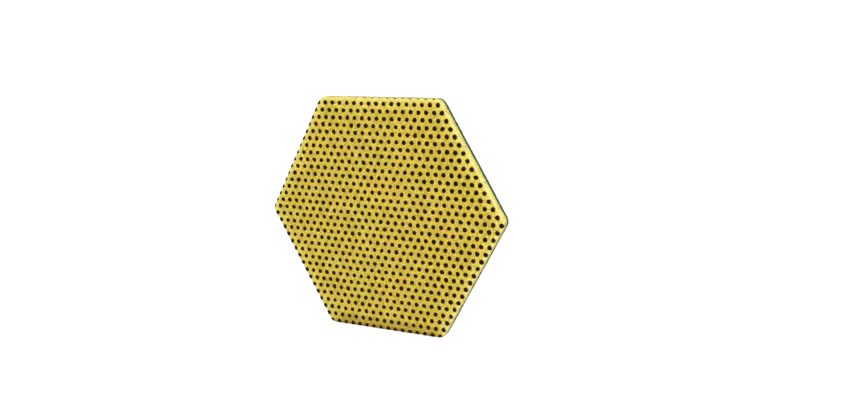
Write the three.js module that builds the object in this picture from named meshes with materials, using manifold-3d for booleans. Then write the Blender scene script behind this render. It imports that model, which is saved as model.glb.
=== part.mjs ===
// A hexagonal two-sided scouring pad, in millimetres, lying flat with its scrubbing face up.
// A stiff non-woven nylon web for scouring lies underneath and a thinner scrubbing cloth is bonded on top of it.
// Hard resin dots are printed on the cloth in staggered rows. The die that cuts the pad out cuts through
// both layers and through the dots at the edge. The origin is the centre of the scouring face.
import * as THREE from "three";
import { mergeGeometries, mergeVertices } from "three/addons/utils/BufferGeometryUtils.js";
import Module from "manifold-3d";

// Outline of the die cut: a hexagon with two flats square to Y and two corners about on X
const ACROSS_FLATS = 127;
// How far each side strays out of the regular hexagon, from the side between +X and +Y anticlockwise
const SIDE_STRAYS = [0.8, 0.5, -0.3, -0.2, 0.5, -1.3];
const CORNER_RADIUS = 5;
const CORNER_STEPS = 4;

// Scouring web, whose free rim is rounded over by the die
const WEB_THICKNESS = 4.2;
const WEB_RIM_RADIUS = 1;

// Scrubbing cloth, whose free rim rolls over
const CLOTH_THICKNESS = 2.8;
const CLOTH_RIM_RADIUS = 0.4;
const RIM_STEPS = 2;

// Printed dots, one on each point of a triangular lattice
const DOT_DIAMETER = 2.4;
const DOT_HEIGHT = 0.5;
const DOT_SIDES = 6;
const DOT_PITCH = 4.6;
// Place of the lattice on the pad: the dot nearest to the middle, and the slant of the rows
const FIRST_DOT = { x: 1.5, y: 1 };
const DOT_ROW_SLANT = THREE.MathUtils.degToRad(-0.3);
// A dot that the die cuts ends this far short of the cloth's rolled rim, and a thinner slice than this is lost
const DOT_RIM_CLEARANCE = 0.1;
const DOT_LEAST_SLICE = 0.4;

const SIDES = SIDE_STRAYS.length;
const HALF_TURN = Math.PI / SIDES;
const DOT_RADIUS = DOT_DIAMETER / 2;
const DOT_ROW_SPACING = DOT_PITCH * Math.sin(Math.PI / 3);
const DOT_CUT_BACK = CLOTH_RIM_RADIUS + DOT_RIM_CLEARANCE;
const DOT_FOOT_DEPTH = DOT_HEIGHT / 10;
const DOT_ROOT_DEPTH = CLOTH_THICKNESS / 2;
const CLOTH_BOTTOM = WEB_THICKNESS;
const CLOTH_TOP = CLOTH_BOTTOM + CLOTH_THICKNESS;

const wasm = await Module();
wasm.setup();

// A closed geometry as a solid that can be joined and cut.
function solidOf(geometry) {
  const bare = geometry.index ? geometry.toNonIndexed() : geometry.clone();
  bare.deleteAttribute("normal");
  bare.deleteAttribute("uv");
  const merged = mergeVertices(bare, 1e-4);
  return new wasm.Manifold(
    new wasm.Mesh({
      numProp: 3,
      vertProperties: new Float32Array(merged.attributes.position.array),
      triVerts: new Uint32Array(merged.index.array),
    }),
  );
}

// A solid as a geometry with flat-shaded faces.
function geometryOf(solid) {
  const mesh = solid.getMesh();
  const indexed = new THREE.BufferGeometry();
  indexed.setAttribute("position", new THREE.BufferAttribute(mesh.vertProperties, 3));
  indexed.setIndex(new THREE.BufferAttribute(mesh.triVerts, 1));
  const geometry = indexed.toNonIndexed();
  geometry.computeVertexNormals();
  return geometry;
}

// A point of the pad given by its distances along a direction and to the left of it.
function pointAlong(angle, ahead, left) {
  return new THREE.Vector2(ahead, left).rotateAround(new THREE.Vector2(), angle);
}

// How far the line through a side's two corner centres lies from the middle. Side 0 follows corner 0.
function coreDistance(side) {
  return ACROSS_FLATS / 2 + SIDE_STRAYS[(side + SIDES) % SIDES] - CORNER_RADIUS;
}

// The middles of the corners' arcs, anticlockwise from the corner on +X.
const cornerCentres = SIDE_STRAYS.map((_, corner) => {
  const before = coreDistance(corner - 1);
  const after = coreDistance(corner);
  const ahead = (after + before) / (2 * Math.cos(HALF_TURN));
  const left = (after - before) / (2 * Math.sin(HALF_TURN));
  return pointAlong(2 * corner * HALF_TURN, ahead, left);
});

// The hexagon with rounded corners, its sides moved in by inset.
function outline(inset) {
  const shape = new THREE.Shape();
  cornerCentres.forEach((centre, corner) => {
    const angle = 2 * corner * HALF_TURN;
    shape.absarc(centre.x, centre.y, CORNER_RADIUS - inset, angle - HALF_TURN, angle + HALF_TURN, false);
  });
  return shape;
}

// A straight-sided block of the outline between two heights.
function prism(inset, bottom, top) {
  const geometry = new THREE.ExtrudeGeometry(outline(inset), {
    depth: top - bottom,
    curveSegments: CORNER_STEPS / 2,
    bevelEnabled: false,
  });
  return solidOf(geometry.translate(0, 0, bottom));
}

// A block of the outline whose rims are rounded over at both heights.
function roundedPrism(bottom, top, rimRadius) {
  const geometry = new THREE.ExtrudeGeometry(outline(0), {
    depth: top - bottom - 2 * rimRadius,
    curveSegments: CORNER_STEPS / 2,
    bevelThickness: rimRadius,
    bevelSize: rimRadius,
    bevelOffset: -rimRadius,
    bevelSegments: RIM_STEPS,
  });
  return solidOf(geometry.translate(0, 0, bottom + rimRadius));
}

// Everything between two heights, far wider than the pad.
function levelSlice(bottom, top) {
  const geometry = new THREE.BoxGeometry(2 * ACROSS_FLATS, 2 * ACROSS_FLATS, top - bottom);
  return solidOf(geometry.translate(0, 0, (bottom + top) / 2));
}

// The web stands on its rounded rim and is cut off flat where the cloth is bonded to it.
function scouringWeb() {
  const spare = WEB_THICKNESS + 2 * WEB_RIM_RADIUS;
  const block = roundedPrism(0, WEB_THICKNESS + spare, WEB_RIM_RADIUS);
  return block.intersect(levelSlice(-spare, WEB_THICKNESS));
}

// The cloth's body, before its dots are printed on it.
function clothBody() {
  const spare = CLOTH_THICKNESS + 2 * CLOTH_RIM_RADIUS;
  const block = roundedPrism(CLOTH_BOTTOM - spare, CLOTH_TOP, CLOTH_RIM_RADIUS);
  return block.intersect(levelSlice(CLOTH_BOTTOM, CLOTH_TOP + spare));
}

// How far a point lies outside the die cut, and below zero how far inside.
function distancePastCut(point) {
  let nearest = { out: -Infinity };
  cornerCentres.forEach((start, side) => {
    const end = cornerCentres[(side + 1) % SIDES];
    const outward = pointAlong((2 * side + 1) * HALF_TURN, 1, 0);
    const out = point.dot(outward) - coreDistance(side);
    if (out > nearest.out) nearest = { out, start, end };
  });
  const core = new THREE.Line3(
    new THREE.Vector3(nearest.start.x, nearest.start.y, 0),
    new THREE.Vector3(nearest.end.x, nearest.end.y, 0),
  );
  const flat = new THREE.Vector3(point.x, point.y, 0);
  const toCore = core.closestPointToPoint(flat, true, new THREE.Vector3()).distanceTo(flat);
  return (nearest.out > 0 ? toCore : nearest.out) - CORNER_RADIUS;
}

// The dots' centres, row by row.
function dotCentres() {
  const centres = [];
  const furthestPastCut = DOT_RADIUS - DOT_CUT_BACK - DOT_LEAST_SLICE;
  const rows = Math.ceil(ACROSS_FLATS / DOT_ROW_SPACING);
  const columns = Math.ceil(ACROSS_FLATS / DOT_PITCH);
  for (let row = -rows; row <= rows; row += 1) {
    const stagger = row % 2 === 0 ? 0 : DOT_PITCH / 2;
    for (let column = -columns; column <= columns; column += 1) {
      const ahead = FIRST_DOT.x + column * DOT_PITCH + stagger;
      const left = FIRST_DOT.y + row * DOT_ROW_SPACING;
      const centre = pointAlong(DOT_ROW_SLANT, ahead, left);
      if (distancePastCut(centre) <= furthestPastCut) centres.push(centre);
    }
  }
  return centres;
}

// One dot: a low peak whose straight root is buried in the cloth. The peak's foot is buried a little too,
// so that the cloth's face cuts the peak's slope cleanly.
function dotGeometry() {
  const footRadius = DOT_RADIUS * (1 + DOT_FOOT_DEPTH / DOT_HEIGHT);
  const profile = [
    new THREE.Vector2(0, -DOT_ROOT_DEPTH),
    new THREE.Vector2(footRadius, -DOT_ROOT_DEPTH),
    new THREE.Vector2(footRadius, -DOT_FOOT_DEPTH),
    new THREE.Vector2(0, DOT_HEIGHT),
  ];
  return new THREE.LatheGeometry(profile, DOT_SIDES).rotateX(Math.PI / 2);
}

// All the dots as one solid, trimmed just inside the die cut.
function printedDots() {
  const dot = dotGeometry();
  const dots = dotCentres().map((centre) => dot.clone().translate(centre.x, centre.y, CLOTH_TOP));
  const trim = prism(DOT_CUT_BACK, CLOTH_BOTTOM, CLOTH_TOP + 2 * DOT_HEIGHT);
  return solidOf(mergeGeometries(dots)).intersect(trim);
}

function namedMesh(name, solid, material) {
  const mesh = new THREE.Mesh(geometryOf(solid), material);
  mesh.name = name;
  return mesh;
}

const webMaterial = new THREE.MeshStandardMaterial({ color: 0x2f5140, roughness: 0.95, metalness: 0 });
const clothMaterial = new THREE.MeshStandardMaterial({ color: 0xdcc04d, roughness: 0.9, metalness: 0 });

const pad = new THREE.Group();
pad.add(namedMesh("scouring_web", scouringWeb(), webMaterial));
pad.add(namedMesh("scrubbing_cloth", clothBody().add(printedDots()), clothMaterial));

export default pad;
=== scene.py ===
"""Looks of a hexagonal two-sided scouring pad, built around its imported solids.

The pad lies on a pale floor with its dotted cloth up. Each layer is a dense base whose surface is rough,
with curled fibres laid over it, and each printed dot is a low irregular dome. Lengths are in metres.
"""
import math

import bpy
import numpy as np
from mathutils import Matrix, Vector, noise
from mathutils.kdtree import KDTree


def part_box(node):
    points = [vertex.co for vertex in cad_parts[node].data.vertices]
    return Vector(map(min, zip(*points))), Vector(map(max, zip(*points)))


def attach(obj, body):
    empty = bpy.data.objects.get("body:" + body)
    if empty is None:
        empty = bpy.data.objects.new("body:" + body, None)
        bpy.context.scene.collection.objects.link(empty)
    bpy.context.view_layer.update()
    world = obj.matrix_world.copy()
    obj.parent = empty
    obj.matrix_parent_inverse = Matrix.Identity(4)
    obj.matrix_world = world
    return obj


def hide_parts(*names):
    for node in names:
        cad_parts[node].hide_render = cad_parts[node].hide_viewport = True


MM = 0.001

# Outline of the die cut, as in the solids: a hexagon, and how far each side strays out of the regular one,
# from the side between +X and +Y anticlockwise
ACROSS_FLATS = 127 * MM
SIDE_STRAYS = np.array([0.8, 0.5, -0.3, -0.2, 0.5, -1.3]) * MM
CORNER_RADIUS = 5 * MM

# Scrubbing cloth
CLOTH_RIM_RADIUS = 0.8 * MM
CLOTH_SIDE_INSET = 0.15 * MM
CLOTH_RINGS = 168
CLOTH_HAIRS = 4200
CLOTH_SIDE_HAIRS = 1800
CLOTH_HAIR_RADIUS = 0.05 * MM
CLOTH_HAIR_LENGTH = (3 * MM, 7 * MM)
CLOTH_SIDE_HAIR_LENGTH = (1.5 * MM, 4 * MM)
# How strongly each side's edge takes painted light and a paler cut band, in the order of the strays. The
# side at -1 takes painted shade instead.
CLOTH_EDGE_LIGHT = np.array([1.0, 0.75, 0.65, 0.6, -1.0, 0.85])
# Over what distance the painted light or shade of two sides blends at a corner
EDGE_LIGHT_BLEND = 1.5 * MM
# The pale band, partly the felt's cut edge and partly painted light, starts this near to the cut, over this
# width
PALE_BAND_FROM = 2.1 * MM
PALE_BAND_WIDTH = 1.6 * MM
# How strongly a side takes painted light or painted shade: distances past the cut in millimetres, and a
# share for each
LIT_BAND = ((-7, -5, -3, -1.5), (0, 0.5, 0.62, 0.8))
SHADE_BAND = ((-7.5, -5, -2.5, -0.8), (0, 0.35, 0.46, 0.9))
# How much of the painted shade the cut wall is spared, and the share of the roll from which the rim is wall
WALL_UNSHADED = 0.8
WALL_FROM = 0.8

# Printed dots, whose resin spreads a little past the 2.4 mm of the solids
DOT_DIAMETER = 2.5 * MM
DOT_HEIGHT = 0.5 * MM
DOT_PITCH = 4.6 * MM
DOT_FIRST = (1.5 * MM, 1.0 * MM)
DOT_ROW_SLANT = math.radians(-0.3)
DOT_CUT_BACK = 0.22 * MM
DOT_LEAST_SLICE = 0.25 * MM
DOT_SEGMENTS = 16
# How far the dots stray from their places, and the spread of their widths and heights
DOT_STRAY = 0.05 * MM
DOT_WIDTH_SPREAD = 0.04
DOT_HEIGHT_SPREAD = 0.06
# How far out of round they are: waves round the dot, and the spread of each as a share of the radius
DOT_WAVES = ((2, 0.045), (3, 0.03), (5, 0.015))
# The dots are a little wider towards +X: places along X in millimetres, and the share added to the diameter
DOT_WIDENING = ((15, 32, 60), (0, 0.035, 0.07))
# Each ring of a dot's dome, from its buried foot to its crown: share of the radius and of the height
DOT_DOME = ((1.0, -0.5), (1.0, 0.3), (0.93, 0.6), (0.76, 0.84), (0.42, 0.97))
# How thin the resin is at a dot's rim, and how sharply that fades towards its middle
DOT_RIM_THINNESS = 0.6
DOT_RIM_SHARPNESS = 5
# The paler ring of felt round each dot
HALO_STRENGTH = 0.55
HALO_RADIUS = 0.66 * DOT_DIAMETER
HALO_WIDTH = 0.5 * MM

# Scouring web
WEB_RIM_RADIUS = 1.9 * MM
WEB_SIDE_INSET = 0.32 * MM
WEB_SKIN_INSET = 0.5 * MM
WEB_RINGS = 112
WEB_FLOOR_GAP = 0.02 * MM
WEB_INNER_FIBRES = 3200
WEB_OUTER_FIBRES = 5800
WEB_WALL_FIBRES = 2700
WEB_FIBRE_RADIUS = 0.09 * MM
WEB_FIBRE_LENGTH = (5 * MM, 12 * MM)
WEB_WALL_FIBRE_LENGTH = (3 * MM, 8 * MM)

# Each fibre: the points along it, the sides of its tube, and how much thinner it is at its ends
FIBRE_POINTS = 6
FIBRE_SIDES = 3
FIBRE_TAPER = 0.6
# The fibres over a face start within this share of the corners' reach, and this far inside the cut
FIBRE_FIELD = 1.1
FIBRE_START_GAP = 0.3 * MM
# How far a fibre sinks at the cut, as a share of the length by which it is held back there
FIBRE_SAG = 0.5

# Steps round each layer's rolled rim and down its cut wall, and how far from the bond its relief fades
RIM_STEPS = 4
WALL_STEPS = 5
BOND_FADE = 0.4 * MM

# Studio: a white floor, even light, and soft lamps with their places, widths and powers
FLOOR_REACH = 6.0
FLOOR_LIFT = 0.4
WORLD_LIGHT = 0.62
LAMPS = (
    ("key_lamp", (0.5, 0.45, 0.9), 0.6, 9.0),
    ("fill_lamp", (-0.7, -0.3, 0.8), 0.8, 3.0),
)

# The camera, which looks down on the dotted face from over the pad's +X corner, and the point it looks at
SENSOR_WIDTH_MM = 36
LENS_MM = 39.41
AIM = Vector((29.9, 8.59, 7.08)) * MM
VIEW_DISTANCE = 490.25 * MM
VIEW_AZIMUTH = math.radians(113.04)
VIEW_ELEVATION = math.radians(59.06)
VIEW_ROLL = math.radians(1.85)

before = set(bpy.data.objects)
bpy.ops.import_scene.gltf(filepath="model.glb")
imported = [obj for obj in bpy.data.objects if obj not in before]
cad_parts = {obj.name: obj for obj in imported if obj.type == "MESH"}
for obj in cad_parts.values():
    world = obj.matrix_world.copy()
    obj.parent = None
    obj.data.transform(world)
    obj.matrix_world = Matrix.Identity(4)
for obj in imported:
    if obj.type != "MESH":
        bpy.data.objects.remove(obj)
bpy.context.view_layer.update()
web_low, web_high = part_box("scouring_web")
cloth_low, cloth_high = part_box("scrubbing_cloth")
WEB_BOTTOM = web_low[2]
BOND_LEVEL = web_high[2]
CLOTH_TOP = cloth_high[2] - DOT_HEIGHT
SIDES = len(SIDE_STRAYS)
HALF_TURN = math.pi / SIDES
SIDE_ANGLES = (2 * np.arange(SIDES) + 1) * HALF_TURN
SIDE_NORMALS = np.stack([np.cos(SIDE_ANGLES), np.sin(SIDE_ANGLES)], -1)
# How far the line through each side's two corner centres lies from the middle
CORE_DISTANCES = ACROSS_FLATS / 2 + SIDE_STRAYS - CORNER_RADIUS
random_numbers = np.random.default_rng(7)


def srgb(red, green, blue):
    """A colour given as 0 to 255 in sRGB, as the linear colour with alpha that a socket takes."""
    linear = []
    for value in (red, green, blue):
        level = value / 255
        linear.append(level / 12.92 if level <= 0.04045 else ((level + 0.055) / 1.055) ** 2.4)
    return (*linear, 1.0)


# The die-cut outline


def corner_centres():
    """Middles of the corners' arcs, anticlockwise from the corner on +X, each one where its side starts."""
    before = np.roll(CORE_DISTANCES, 1)
    ahead = (CORE_DISTANCES + before) / (2 * math.cos(HALF_TURN))
    left = (CORE_DISTANCES - before) / (2 * math.sin(HALF_TURN))
    angles = 2 * np.arange(SIDES) * HALF_TURN
    x = ahead * np.cos(angles) - left * np.sin(angles)
    y = ahead * np.sin(angles) + left * np.cos(angles)
    return np.stack([x, y], -1)


SIDE_STARTS = corner_centres()
SIDE_ENDS = np.roll(SIDE_STARTS, -1, axis=0)
SIDE_LENGTHS = np.linalg.norm(SIDE_ENDS - SIDE_STARTS, axis=1)


def outline(turn, inset):
    """Points and outward normals on the outline moved in by inset.

    A turn runs from 0 at the corner on +X to 1, with the same share of it for each side.
    """
    turn, inset = np.broadcast_arrays(np.asarray(turn, float) % 1.0, np.asarray(inset, float))
    side = np.minimum((turn * SIDES).astype(int), SIDES - 1)
    radius = CORNER_RADIUS - inset
    half_arc = radius * HALF_TURN
    length = SIDE_LENGTHS[side]
    travel = (turn * SIDES - side) * (length + 2 * half_arc) - half_arc
    along = np.clip(travel, 0, length)
    normal_angle = SIDE_ANGLES[side] + (travel - along) / radius
    normal = np.stack([np.cos(normal_angle), np.sin(normal_angle)], -1)
    share = (along / length)[..., None]
    core = SIDE_STARTS[side] * (1 - share) + SIDE_ENDS[side] * share
    return core + normal * radius[..., None], normal


def past_cut(points):
    """How far points lie outside the die cut (below zero inside it), and the way out."""
    out = points @ SIDE_NORMALS.T - CORE_DISTANCES
    side = np.argmax(out, -1)
    out = np.take_along_axis(out, side[..., None], -1)[..., 0]
    normal = SIDE_NORMALS[side]
    sideways = np.stack([-normal[..., 1], normal[..., 0]], -1)
    along = (points * sideways).sum(-1)
    start = (SIDE_STARTS[side] * sideways).sum(-1)
    end = (SIDE_ENDS[side] * sideways).sum(-1)
    past_corner = along - np.clip(along, start, end)
    outside = np.maximum(out, 0)
    distance = np.where(out > 0, np.hypot(outside, past_corner), out)
    way = outside[..., None] * normal + past_corner[..., None] * sideways
    length = np.linalg.norm(way, axis=-1, keepdims=True)
    way = np.where(length > 1e-12, way / np.maximum(length, 1e-12), normal)
    return distance - CORNER_RADIUS, way


def rim_drop(past_side, rim_radius):
    """How far a rolled rim has sunk from the face, at a distance past the wall."""
    roll = np.clip(past_side / rim_radius + 1, 0, 1)
    return rim_radius * (1 - np.sqrt(1 - roll**2))


def edge_light_share(points):
    """The cloth's painted light (above zero) or shade (below zero) at each point, blended where two sides
    meet.
    """
    out = points @ SIDE_NORMALS.T - CORE_DISTANCES
    weights = np.exp((out - out.max(-1, keepdims=True)) / EDGE_LIGHT_BLEND)
    return weights @ CLOTH_EDGE_LIGHT / weights.sum(-1)


# Mesh building


def new_object(name, vertices, faces, attributes, material):
    """A smooth-shaded mesh object in the scene, with a number at each vertex for every attribute."""
    mesh = bpy.data.meshes.new(name)
    mesh.from_pydata(np.asarray(vertices).reshape(-1, 3).tolist(), [], faces)
    for label, values in attributes.items():
        layer = mesh.attributes.new(label, "FLOAT", "POINT")
        layer.data.foreach_set("value", np.asarray(values, np.float32).ravel())
    mesh.shade_smooth()
    mesh.materials.append(material)
    piece = bpy.data.objects.new(name, mesh)
    bpy.context.scene.collection.objects.link(piece)
    return piece


def noise_at(points, feature, octaves=2, shift=0):
    """Smooth noise between about -1 and 1 at each point, with features of the given size.

    A shift gives a pattern of its own.
    """
    scaled = (points + shift) / feature
    return np.array([noise.fractal(Vector(p), 1.0, 2.0, octaves) for p in scaled])


def ring_start(ring):
    """Place of the first point of a ring, where ring 0 is the middle point."""
    return 1 + SIDES * ring * (ring - 1) // 2 if ring else 0


def disc_faces(rings):
    """Triangles of a face made of a middle point and rings of 6, 12, 18... points."""
    faces = []
    for ring in range(1, rings + 1):
        inner_start = ring_start(ring - 1)
        inner_count = max(SIDES * (ring - 1), 1)
        outer_start = ring_start(ring)
        outer_count = SIDES * ring
        for side in range(SIDES):
            for step in range(ring):
                outer = outer_start + side * ring + step
                after = outer_start + (side * ring + step + 1) % outer_count
                inner = inner_start + (side * (ring - 1) + step) % inner_count
                faces.append((inner, outer, after))
                if step < ring - 1:
                    inner_after = inner_start + (side * (ring - 1) + step + 1) % inner_count
                    faces.append((inner, after, inner_after))
    return faces


def layer_surface(rings, face_level, bond_level, rim_radius, side_inset):
    """One layer's free face, rolled rim, cut wall and bonded underside.

    Returns its points, their outward normals, how far round the rim each lies (0 on the face, 1 on the
    wall), and its faces. The face looks up where face_level is above bond_level, and down otherwise.
    """
    up = 1.0 if face_level > bond_level else -1.0
    face_inset = side_inset + rim_radius
    points, normals, rolls = [[0, 0, face_level]], [[0, 0, up]], [0.0]
    for ring in range(1, rings + 1):
        flat, _ = outline(np.arange(SIDES * ring) / (SIDES * ring), face_inset)
        points += [[x, y, face_level] for x, y in flat * ring / rings]
        normals += [[0, 0, up]] * len(flat)
        rolls += [0.0] * len(flat)
    count = SIDES * rings
    turns = np.arange(count) / count
    profile = []
    for step in range(1, RIM_STEPS + 1):
        angle = math.pi / 2 * step / RIM_STEPS
        inset = face_inset - rim_radius * math.sin(angle)
        profile.append((inset, face_level - up * rim_radius * (1 - math.cos(angle)), angle))
    wall_top = face_level - up * rim_radius
    for step in range(1, WALL_STEPS + 1):
        profile.append((side_inset, wall_top + (bond_level - wall_top) * step / WALL_STEPS, math.pi / 2))
    faces = disc_faces(rings)
    start = len(points) - count
    for inset, level, angle in profile:
        flat, out = outline(turns, inset)
        points += [[x, y, level] for x, y in flat]
        normals += [[x * math.sin(angle), y * math.sin(angle), up * math.cos(angle)] for x, y in out]
        rolls += [math.sin(angle)] * count
        for step in range(count):
            after = (step + 1) % count
            faces.append((start + step, start + count + step, start + count + after, start + after))
        start += count
    faces.append(tuple(range(start, start + count)))
    if up < 0:
        faces = [face[::-1] for face in faces]
    return np.array(points), np.array(normals), np.array(rolls), faces


def away_from_bond(points):
    """0 at the bond and 1 a little way from it, to keep the two layers' walls clear of each other."""
    return np.clip(np.abs(points[:, 2] - BOND_LEVEL) / BOND_FADE, 0, 1)


def fibre_tubes(paths, radius, tones):
    """Thin closed tubes along paths[fibre, point], thinner at both ends, and one tone for each vertex."""
    count, length, _ = paths.shape
    along = np.gradient(paths, axis=1)
    along /= np.maximum(np.linalg.norm(along, axis=2, keepdims=True), 1e-12)
    steep = np.abs(along[..., 2:]) > 0.9
    beside = np.where(steep, (1.0, 0.1, 0.0), (0.05, 0.03, 1.0))
    across = np.cross(along, beside)
    across /= np.maximum(np.linalg.norm(across, axis=2, keepdims=True), 1e-12)
    upward = np.cross(along, across)
    share = np.linspace(-1, 1, length)
    thickness = radius * (1 - FIBRE_TAPER * share**6)
    rings = []
    for side in range(FIBRE_SIDES):
        angle = 2 * math.pi * side / FIBRE_SIDES
        offset = math.cos(angle) * across + math.sin(angle) * upward
        rings.append(paths + offset * thickness[None, :, None])
    vertices = np.stack(rings, 2)
    first = np.arange(count)[:, None] * length * FIBRE_SIDES
    faces = []
    for point in range(length - 1):
        for side in range(FIBRE_SIDES):
            after = (side + 1) % FIBRE_SIDES
            low, high = point * FIBRE_SIDES, (point + 1) * FIBRE_SIDES
            faces.append(first + [[low + side, low + after, high + after, high + side]])
    quads = np.concatenate(faces)
    last = (length - 1) * FIBRE_SIDES
    near_caps = first + np.arange(FIBRE_SIDES)[::-1]
    far_caps = first + last + np.arange(FIBRE_SIDES)
    walls_and_caps = quads.tolist() + near_caps.tolist() + far_caps.tolist()
    return vertices.reshape(-1, 3), walls_and_caps, np.repeat(tones, length * FIBRE_SIDES)


def curled_steps(count, lengths, curl):
    """Flat curled paths from the origin: each heads its own way and bends evenly as it goes."""
    heading = random_numbers.uniform(0, 2 * math.pi, (count, 1))
    even_bend = random_numbers.normal(0, curl, (count, 1))
    bend = even_bend + random_numbers.normal(0, curl / 2, (count, FIBRE_POINTS))
    angles = heading + np.cumsum(bend, axis=1)
    step = random_numbers.uniform(*lengths, (count, 1)) / (FIBRE_POINTS - 1)
    moves = np.stack([np.cos(angles), np.sin(angles)], -1) * step[..., None]
    moves[:, 0] = 0
    return np.cumsum(moves, axis=1)


def face_fibres(count, lengths, curl, level, lift, up, rim_radius, side_inset):
    """Paths of fibres that lie over a face, arch out of it by up to lift and follow its rolled rim.

    The face looks up where up is 1, and down where it is -1.
    """
    starts = random_numbers.uniform(-1, 1, (count * 3, 2)) * SIDE_STARTS.max(0) * FIBRE_FIELD
    distance, _ = past_cut(starts)
    starts = starts[distance < -FIBRE_START_GAP][:count]
    flat = starts[:, None] + curled_steps(len(starts), lengths, curl)
    distance, way = past_cut(flat)
    over = np.maximum(distance + side_inset, 0)
    flat = flat - way * over[..., None]
    drop = rim_drop(distance + side_inset, rim_radius) + over * FIBRE_SAG
    share = np.linspace(-1, 1, FIBRE_POINTS)
    arch = (1 - share**2) * random_numbers.uniform(0.3, 1.0, (len(starts), 1)) * lift
    base = random_numbers.uniform(-0.6, 0.25, (len(starts), 1)) * lift
    height = level + up * (base + arch - drop)
    return np.concatenate([flat, height[..., None]], -1)


def side_fibres(count, lengths, curl, low, high, side_inset, lift, face_level, rim_radius):
    """Paths of fibres that lie along a cut wall between two levels and follow its rolled rim."""
    perimeter = SIDE_LENGTHS.sum() + 2 * math.pi * CORNER_RADIUS
    steps = curled_steps(count, lengths, curl)
    turn = random_numbers.uniform(0, 1, (count, 1)) + steps[..., 0] / perimeter
    level = np.clip(random_numbers.uniform(low, high, (count, 1)) + steps[..., 1], low, high)
    share = np.linspace(0, 1, FIBRE_POINTS)
    stand = random_numbers.uniform(-0.5, 1.0, (count, 1)) * lift
    loose_end = random_numbers.uniform(-0.4, 0.4, (count, 1)) * lift
    outward = stand * np.sin(math.pi * share) + loose_end * share**2
    rim_inset = rim_drop(-np.abs(level - face_level), rim_radius)
    flat, _ = outline(turn, side_inset + rim_inset - outward)
    return np.concatenate([flat, level[..., None]], -1)


# Materials


class Nodes:
    """A material under construction, with short ways to add the nodes that this scene needs."""

    def __init__(self, name, roughness):
        self.material = bpy.data.materials.new(name)
        self.material.use_nodes = True
        self.tree = self.material.node_tree
        self.shader = self.tree.nodes["Principled BSDF"]
        self.shader.inputs["Roughness"].default_value = roughness
        self.coordinates = self.tree.nodes.new("ShaderNodeTexCoord").outputs["Object"]

    def link(self, output, target):
        self.tree.links.new(output, target)

    def noise(self, feature, detail=2.0, roughness=0.5):
        """Noise from 0 to 1 whose features have the given size."""
        node = self.tree.nodes.new("ShaderNodeTexNoise")
        node.inputs["Scale"].default_value = 1 / feature
        node.inputs["Detail"].default_value = detail
        node.inputs["Roughness"].default_value = roughness
        self.link(self.coordinates, node.inputs["Vector"])
        return node.outputs["Fac"]

    def attribute(self, label):
        node = self.tree.nodes.new("ShaderNodeAttribute")
        node.attribute_name = label
        return node.outputs["Fac"]

    def ramp(self, value, *stops):
        """Colours along a value, each stop a place from 0 to 1 and a colour."""
        node = self.tree.nodes.new("ShaderNodeValToRGB")
        elements = node.color_ramp.elements
        while len(elements) < len(stops):
            elements.new(0.5)
        for element, (place, colour) in zip(elements, stops):
            element.position = place
            element.color = colour
        self.link(value, node.inputs["Fac"])
        return node.outputs["Color"]

    def mix(self, factor, first, second, blend="MIX"):
        """Two colours mixed by a factor, which is a number or a node's output."""
        node = self.tree.nodes.new("ShaderNodeMix")
        node.data_type = "RGBA"
        node.blend_type = blend
        for socket, value in ((node.inputs[0], factor), (node.inputs[6], first), (node.inputs[7], second)):
            if isinstance(value, bpy.types.NodeSocket):
                self.link(value, socket)
            else:
                socket.default_value = value
        return node.outputs[2]

    def bump(self, height, depth):
        node = self.tree.nodes.new("ShaderNodeBump")
        node.inputs["Strength"].default_value = 1.0
        node.inputs["Distance"].default_value = depth
        self.link(height, node.inputs["Height"])
        self.link(node.outputs["Normal"], self.shader.inputs["Normal"])

    def colour(self, output):
        self.link(output, self.shader.inputs["Base Color"])
        return self.material


def cloth_material():
    """Mottled yellow felt, paler round the dots, with painted light and painted shade along its edges."""
    nodes = Nodes("scrubbing_cloth_felt", 0.92)
    broad = nodes.ramp(nodes.noise(2.6 * MM, 3), (0.32, srgb(200, 164, 8)), (0.68, srgb(248, 224, 52)))
    patches = nodes.ramp(nodes.noise(13 * MM, 4), (0.42, srgb(206, 208, 16)), (0.58, srgb(254, 186, 42)))
    tint = nodes.ramp(nodes.noise(1.3 * MM, 2), (0.38, srgb(162, 206, 6)), (0.62, srgb(255, 164, 58)))
    wash = nodes.ramp(nodes.noise(3.4 * MM, 4), (0.4, srgb(230, 194, 0)), (0.6, srgb(226, 208, 106)))
    body = nodes.mix(0.6, broad, patches)
    body = nodes.mix(0.5, body, tint)
    body = nodes.mix(0.48, body, wash)
    body = nodes.mix(nodes.attribute("dot_halo"), body, srgb(246, 230, 120))
    body = nodes.mix(nodes.attribute("lit"), body, srgb(255, 242, 118))
    flecks = nodes.noise(0.75 * MM, 2, 0.6)
    fleck = nodes.ramp(flecks, (0.34, srgb(178, 163, 110)), (0.58, srgb(255, 255, 255)))
    body = nodes.mix(0.8, body, fleck, "MULTIPLY")
    grain = nodes.ramp(nodes.noise(0.3 * MM, 3, 0.7), (0.3, srgb(170, 170, 170)), (0.7, srgb(255, 255, 255)))
    body = nodes.mix(0.6, body, grain, "MULTIPLY")
    # Pale at the cut wall, the felt's own colour, and in the band near the cut of the lit sides, partly
    # painted light
    pale = nodes.ramp(nodes.noise(0.7 * MM, 3), (0.35, srgb(206, 194, 96)), (0.65, srgb(242, 234, 164)))
    body = nodes.mix(nodes.attribute("roll"), body, pale)
    # Painted shade along one side's edge
    body = nodes.mix(nodes.attribute("painted_shade"), body, srgb(150, 132, 96), "MULTIPLY")
    nodes.bump(nodes.noise(0.3 * MM, 4, 0.7), 0.12 * MM)
    nodes.shader.inputs["Specular IOR Level"].default_value = 0.15
    nodes.shader.inputs["Sheen Weight"].default_value = 0.08
    nodes.shader.inputs["Sheen Roughness"].default_value = 0.6
    nodes.shader.inputs["Sheen Tint"].default_value = srgb(255, 240, 170)
    return nodes.colour(body)


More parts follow.
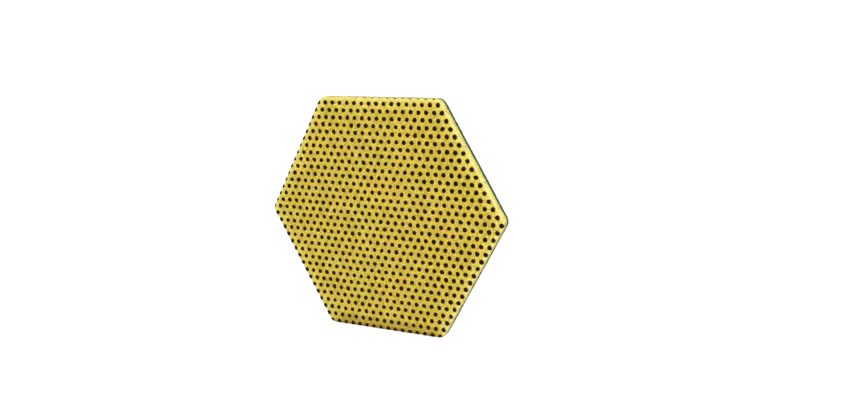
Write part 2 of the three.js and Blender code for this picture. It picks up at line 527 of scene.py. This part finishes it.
def hair_material():
    """Single fibres of the cloth, from ochre to pale yellow."""
    nodes = Nodes("scrubbing_cloth_fibre", 0.75)
    tone = nodes.ramp(
        nodes.attribute("tone"),
        (0.0, srgb(186, 148, 22)),
        (0.5, srgb(222, 196, 50)),
        (1.0, srgb(240, 230, 140)),
    )
    speckle = nodes.ramp(nodes.noise(0.6 * MM), (0.3, srgb(190, 180, 120)), (0.7, srgb(255, 250, 230)))
    nodes.shader.inputs["Specular IOR Level"].default_value = 0.2
    return nodes.colour(nodes.mix(0.4, tone, speckle, "MULTIPLY"))


def dot_material():
    """Dark resin with a slight sheen, from greenish to reddish brown, paler at its thin rim."""
    nodes = Nodes("printed_dot_resin", 0.45)
    nodes.shader.inputs["Specular Tint"].default_value = srgb(150, 105, 50)
    tone = nodes.ramp(
        nodes.attribute("tone"),
        (0.0, srgb(11, 13, 0)),
        (0.45, srgb(25, 14, 0)),
        (1.0, srgb(52, 21, 3)),
    )
    cloud = nodes.ramp(nodes.noise(0.9 * MM, 2), (0.3, srgb(205, 205, 205)), (0.7, srgb(255, 255, 255)))
    body = nodes.mix(nodes.attribute("thin"), nodes.mix(1.0, tone, cloud, "MULTIPLY"), srgb(96, 68, 8))
    nodes.bump(nodes.noise(0.25 * MM, 2), 0.05 * MM)
    nodes.shader.inputs["Specular IOR Level"].default_value = 0.1
    return nodes.colour(body)


def web_material():
    """The web's dense depth: resin-coated nylon, with painted shade making its pores nearly black green."""
    nodes = Nodes("scouring_web_depth", 0.85)
    # Painted shade: darker where the relief sinks into pores, lighter on its peaks
    relief = nodes.ramp(
        nodes.attribute("relief"),
        (0.25, srgb(17, 37, 27)),
        (0.55, srgb(33, 67, 49)),
        (0.85, srgb(48, 92, 69)),
    )
    grain = nodes.ramp(nodes.noise(0.3 * MM, 3, 0.7), (0.3, srgb(150, 150, 150)), (0.7, srgb(255, 255, 255)))
    nodes.bump(nodes.noise(0.28 * MM, 4, 0.7), 0.2 * MM)
    nodes.shader.inputs["Specular IOR Level"].default_value = 0.2
    return nodes.colour(nodes.mix(0.7, relief, grain, "MULTIPLY"))


def fibre_material():
    """The web's nylon fibres, dark green with a few that catch the light."""
    nodes = Nodes("scouring_web_fibre", 0.55)
    tone = nodes.ramp(
        nodes.attribute("tone"),
        (0.0, srgb(36, 78, 58)),
        (0.5, srgb(58, 113, 87)),
        (1.0, srgb(98, 154, 128)),
    )
    speckle = nodes.ramp(nodes.noise(0.25 * MM, 2), (0.35, srgb(160, 160, 160)), (0.6, srgb(255, 255, 255)))
    nodes.bump(nodes.noise(0.12 * MM, 2), 0.03 * MM)
    nodes.shader.inputs["Specular IOR Level"].default_value = 0.3
    return nodes.colour(nodes.mix(0.6, tone, speckle, "MULTIPLY"))


# Pieces


def dot_centres():
    """Centres of the printed dots that the die cut leaves, from one point of their staggered lattice."""
    row_spacing = DOT_PITCH * math.sin(math.pi / 3)
    reach = math.ceil(ACROSS_FLATS / row_spacing)
    rows, columns = np.meshgrid(np.arange(-reach, reach + 1), np.arange(-reach, reach + 1), indexing="ij")
    x = DOT_FIRST[0] + (columns + 0.5 * (rows % 2)) * DOT_PITCH
    y = DOT_FIRST[1] + rows * row_spacing
    cosine, sine = math.cos(DOT_ROW_SLANT), math.sin(DOT_ROW_SLANT)
    centres = np.stack([x * cosine - y * sine, x * sine + y * cosine], -1).reshape(-1, 2)
    distance, _ = past_cut(centres)
    return centres[distance <= DOT_DIAMETER / 2 - DOT_CUT_BACK - DOT_LEAST_SLICE]


def distance_to_dot(points, centres):
    """How far each point lies from the centre of the dot nearest to it."""
    tree = KDTree(len(centres))
    for place, (x, y) in enumerate(centres):
        tree.insert((x, y, 0), place)
    tree.balance()
    nearest = [tree.find((x, y, 0))[1] for x, y, _ in points]
    return np.linalg.norm(points[:, :2] - centres[nearest], axis=1)


def make_cloth(centres):
    """The cloth's felted body, with its rim rolled over and painted light or painted shade along each side's
    edge.
    """
    points, normals, rolls, faces = layer_surface(
        CLOTH_RINGS, CLOTH_TOP, BOND_LEVEL, CLOTH_RIM_RADIUS, CLOTH_SIDE_INSET
    )
    swell = 0.13 * MM * noise_at(points, feature=9 * MM)
    fuzz = 0.09 * MM * noise_at(points, feature=1.2 * MM)
    grain = 0.05 * MM * noise_at(points, feature=0.5 * MM, octaves=1, shift=1)
    rim_tufts = rolls * 0.12 * MM * noise_at(points, feature=1.6 * MM, shift=2)
    relief = swell + fuzz + grain + rim_tufts
    points = points + normals * (relief * away_from_bond(points))[:, None]
    distance, _ = past_cut(points[:, :2])
    distance = distance + 0.45 * MM * noise_at(points, feature=1.8 * MM, shift=4)
    # Each side's painted light (above zero) or painted shade (below zero) at its edge
    side_light = edge_light_share(points[:, :2])
    lit_side_share, painted_shade = np.maximum(side_light, 0), np.maximum(-side_light, 0)
    # The pale band near the cut of the lit sides: partly the felt's pale cut edge, partly painted light
    pale_band_and_light = lit_side_share * np.clip((distance + PALE_BAND_FROM) / PALE_BAND_WIDTH, 0, 1)
    wall = np.clip((rolls - WALL_FROM) / (1 - WALL_FROM), 0, 1)
    roll = np.maximum(pale_band_and_light, wall)
    lit = lit_side_share * np.interp(distance / MM, *LIT_BAND)
    # Painted shade along one side's edge, mostly spared on the cut wall
    painted_shade = painted_shade * np.interp(distance / MM, *SHADE_BAND) * (1 - WALL_UNSHADED * wall)
    # A paler ring of felt round each dot
    from_halo = distance_to_dot(points, centres) - HALO_RADIUS
    dot_halo = HALO_STRENGTH * np.exp(-((from_halo / HALO_WIDTH) ** 2))
    attributes = {"roll": roll, "dot_halo": dot_halo, "lit": lit, "painted_shade": painted_shade}
    cloth = new_object("scrubbing_cloth_body", points, faces, attributes, cloth_material())
    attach(cloth, "root")
    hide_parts("scrubbing_cloth")


def make_cloth_hairs():
    """Fine fibres that lie over the cloth, and stand out of its cut edge."""
    over_face = face_fibres(
        count=CLOTH_HAIRS,
        lengths=CLOTH_HAIR_LENGTH,
        curl=0.25,
        level=CLOTH_TOP + 0.02 * MM,
        lift=0.16 * MM,
        up=1,
        rim_radius=CLOTH_RIM_RADIUS,
        side_inset=CLOTH_SIDE_INSET,
    )
    along_wall = side_fibres(
        count=CLOTH_SIDE_HAIRS,
        lengths=CLOTH_SIDE_HAIR_LENGTH,
        curl=0.45,
        low=BOND_LEVEL + 0.15 * MM,
        high=CLOTH_TOP - 0.4 * MM,
        side_inset=CLOTH_SIDE_INSET - 0.02 * MM,
        lift=0.42 * MM,
        face_level=CLOTH_TOP,
        rim_radius=CLOTH_RIM_RADIUS,
    )
    paths = np.concatenate([over_face, along_wall])
    face_tones = random_numbers.uniform(0, 0.85, len(over_face))
    wall_tones = random_numbers.uniform(0.6, 1, len(along_wall))
    tones = np.concatenate([face_tones, wall_tones])
    vertices, faces, tone = fibre_tubes(paths, CLOTH_HAIR_RADIUS, tones)
    hairs = new_object("scrubbing_cloth_hairs", vertices, faces, {"tone": tone}, hair_material())
    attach(hairs, "root")


def make_dots(centres):
    """The printed dots: low domes, each a little out of round, cut off straight at the die cut."""
    count = len(centres)
    centres = centres + random_numbers.normal(0, DOT_STRAY, centres.shape)
    angles = 2 * math.pi * np.arange(DOT_SEGMENTS) / DOT_SEGMENTS
    width = random_numbers.normal(1, DOT_WIDTH_SPREAD, (count, 1))
    width += np.interp(centres[:, :1] / MM, *DOT_WIDENING)
    roundness = np.ones((count, DOT_SEGMENTS))
    for waves, spread in DOT_WAVES:
        phase = random_numbers.uniform(0, 2 * math.pi, (count, 1))
        roundness += random_numbers.normal(0, spread, (count, 1)) * np.cos(waves * angles + phase)
    radius = DOT_DIAMETER / 2 * width * roundness
    height = DOT_HEIGHT * random_numbers.normal(1, DOT_HEIGHT_SPREAD, (count, 1))
    rings = []
    for radius_share, height_share in DOT_DOME:
        x = centres[:, :1] + radius * radius_share * np.cos(angles)
        y = centres[:, 1:] + radius * radius_share * np.sin(angles)
        rings.append(np.stack([x, y, np.broadcast_to(CLOTH_TOP + height * height_share, x.shape)], -1))
    foot_level = CLOTH_TOP + DOT_HEIGHT * DOT_DOME[0][1]
    foot = np.concatenate([centres, np.full((count, 1), foot_level)], 1)[:, None]
    crown = np.concatenate([centres, CLOTH_TOP + height], 1)[:, None]
    vertices = np.concatenate([*rings, foot, crown], 1)
    distance, way = past_cut(vertices[..., :2])
    vertices[..., :2] -= way * np.maximum(distance + DOT_CUT_BACK, 0)[..., None]
    distance = np.minimum(distance, -DOT_CUT_BACK)
    vertices[..., 2] -= rim_drop(distance + CLOTH_SIDE_INSET, CLOTH_RIM_RADIUS)
    faces = []
    each = vertices.shape[1]
    foot_place, crown_place = each - 2, each - 1
    last_ring = (len(DOT_DOME) - 1) * DOT_SEGMENTS
    for dot in range(count):
        first = dot * each
        for step in range(DOT_SEGMENTS):
            after = (step + 1) % DOT_SEGMENTS
            faces.append((first + foot_place, first + after, first + step))
            faces.append((first + crown_place, first + last_ring + step, first + last_ring + after))
            for ring in range(len(DOT_DOME) - 1):
                low = first + ring * DOT_SEGMENTS
                high = low + DOT_SEGMENTS
                faces.append((low + step, low + after, high + after, high + step))
    tones = np.repeat(random_numbers.beta(1.5, 1.8, count), each)
    ring_thinness = [DOT_RIM_THINNESS * share**DOT_RIM_SHARPNESS for share, _ in DOT_DOME]
    thin = np.tile([*np.repeat(ring_thinness, DOT_SEGMENTS), 0, 0], count)
    dots = new_object("printed_dots", vertices, faces, {"tone": tones, "thin": thin}, dot_material())
    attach(dots, "root")


def make_web():
    """The web's dense depth, with pores sunk into its face and its cut wall."""
    points, normals, _, faces = layer_surface(
        WEB_RINGS, WEB_BOTTOM + WEB_SKIN_INSET, BOND_LEVEL, WEB_RIM_RADIUS, WEB_SIDE_INSET
    )
    lumps = noise_at(points, feature=1.7 * MM, octaves=3)
    swell = 0.1 * MM * noise_at(points, feature=7 * MM, shift=3)
    relief = lumps * 0.24 * MM + swell
    points = points + normals * (relief * away_from_bond(points))[:, None]
    points[:, 2] = np.maximum(points[:, 2], WEB_BOTTOM + WEB_FLOOR_GAP)
    # The relief attribute also sets the pores' painted shade
    web = new_object("scouring_web_body", points, faces, {"relief": lumps * 0.5 + 0.5}, web_material())
    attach(web, "root")
    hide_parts("scouring_web")


def make_web_fibres():
    """Coarse curled nylon fibres, matted in two depths over the scouring face and along the cut wall."""
    material = fibre_material()
    skin = WEB_BOTTOM + WEB_SKIN_INSET
    inner = face_fibres(
        count=WEB_INNER_FIBRES,
        lengths=WEB_FIBRE_LENGTH,
        curl=0.45,
        level=skin,
        lift=0.2 * MM,
        up=-1,
        rim_radius=WEB_RIM_RADIUS,
        side_inset=WEB_SIDE_INSET,
    )
    outer = face_fibres(
        count=WEB_OUTER_FIBRES,
        lengths=WEB_FIBRE_LENGTH,
        curl=0.4,
        level=skin - 0.12 * MM,
        lift=0.28 * MM,
        up=-1,
        rim_radius=WEB_RIM_RADIUS,
        side_inset=WEB_SIDE_INSET - 0.1 * MM,
    )
    wall = side_fibres(
        count=WEB_WALL_FIBRES,
        lengths=WEB_WALL_FIBRE_LENGTH,
        curl=0.5,
        low=WEB_BOTTOM + 0.3 * MM,
        high=BOND_LEVEL - 0.1 * MM,
        side_inset=WEB_SIDE_INSET - 0.05 * MM,
        lift=0.25 * MM,
        face_level=skin,
        rim_radius=WEB_RIM_RADIUS,
    )
    # The inner fibres, deeper in the mat, get darker tones: painted shade
    for depth, paths, lightest in (("inner", inner, 0.6), ("outer", outer, 1.0), ("wall", wall, 0.9)):
        paths[..., 2] = np.maximum(paths[..., 2], WEB_BOTTOM + WEB_FIBRE_RADIUS)
        tones = lightest * random_numbers.beta(1.6, 2.2, len(paths))
        vertices, faces, tone = fibre_tubes(paths, WEB_FIBRE_RADIUS, tones)
        fibres = new_object(f"scouring_web_{depth}_fibres", vertices, faces, {"tone": tone}, material)
        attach(fibres, "root")


# Studio


def make_floor():
    """A plain white floor that keeps the pad's soft shadow."""
    reach = FLOOR_REACH
    corners = [(-reach, -reach, 0), (reach, -reach, 0), (reach, reach, 0), (-reach, reach, 0)]
    nodes = Nodes("studio_floor", 0.9)
    nodes.shader.inputs["Specular IOR Level"].default_value = 0.0
    path = nodes.tree.nodes.new("ShaderNodeLightPath")
    lift = nodes.tree.nodes.new("ShaderNodeMapRange")
    lift.inputs["To Min"].default_value = 0.0
    lift.inputs["To Max"].default_value = FLOOR_LIFT
    nodes.link(path.outputs["Is Camera Ray"], lift.inputs["Value"])
    nodes.link(lift.outputs["Result"], nodes.shader.inputs["Emission Strength"])
    tone = nodes.ramp(nodes.noise(400 * MM, 1), (0.3, srgb(244, 244, 244)), (0.7, srgb(248, 248, 248)))
    floor = new_object("studio_floor", corners, [(0, 1, 2, 3)], {}, nodes.colour(tone))


def make_world():
    """Even white light from all round, which the camera and gloss see as plain white."""
    world = bpy.data.worlds.new("studio_world")
    world.use_nodes = True
    tree = world.node_tree
    background = tree.nodes["Background"]
    path = tree.nodes.new("ShaderNodeLightPath")
    strength = tree.nodes.new("ShaderNodeMapRange")
    strength.inputs["To Min"].default_value = WORLD_LIGHT
    strength.inputs["To Max"].default_value = 1.0
    background.inputs["Color"].default_value = (1, 1, 1, 1)
    seen = path.outputs["Is Camera Ray"]
    for ray in ("Is Glossy Ray", "Is Transmission Ray"):
        either = tree.nodes.new("ShaderNodeMath")
        either.operation = "MAXIMUM"
        tree.links.new(seen, either.inputs[0])
        tree.links.new(path.outputs[ray], either.inputs[1])
        seen = either.outputs[0]
    tree.links.new(seen, strength.inputs["Value"])
    tree.links.new(strength.outputs["Result"], background.inputs["Strength"])
    bpy.context.scene.world = world


def make_lamp(name, place, size, power):
    """A soft square lamp that looks at the pad."""
    light = bpy.data.lights.new(name, "AREA")
    light.shape = "SQUARE"
    light.size = size
    light.energy = power
    lamp = bpy.data.objects.new(name, light)
    lamp.location = place
    lamp.rotation_euler = (-Vector(place)).to_track_quat("-Z", "Y").to_euler()
    bpy.context.scene.collection.objects.link(lamp)


def make_camera():
    """The camera, placed from the point that it looks at, and rolled a little about its view."""
    data = bpy.data.cameras.new("camera")
    data.sensor_width = SENSOR_WIDTH_MM
    data.lens = LENS_MM
    data.clip_start = 0.01
    camera = bpy.data.objects.new("camera", data)
    away = Vector(
        (
            math.sin(VIEW_AZIMUTH) * math.cos(VIEW_ELEVATION),
            -math.cos(VIEW_AZIMUTH) * math.cos(VIEW_ELEVATION),
            math.sin(VIEW_ELEVATION),
        )
    )
    up = (Vector((0, 1, 0)) - away * away.y).normalized()
    right = up.cross(away)
    rolled_up = up * math.cos(VIEW_ROLL) + right * math.sin(VIEW_ROLL)
    rolled_right = rolled_up.cross(away)
    turn = Matrix((rolled_right, rolled_up, away)).transposed()
    camera.matrix_world = Matrix.Translation(AIM + away * VIEW_DISTANCE) @ turn.to_4x4()
    bpy.context.scene.collection.objects.link(camera)
    bpy.context.scene.camera = camera


centres = dot_centres()
make_cloth(centres)
make_cloth_hairs()
make_dots(centres)
make_web()
make_web_fibres()
make_floor()
make_world()
for lamp in LAMPS:
    make_lamp(*lamp)
make_camera()
bpy.context.scene.view_settings.view_transform = "Standard"
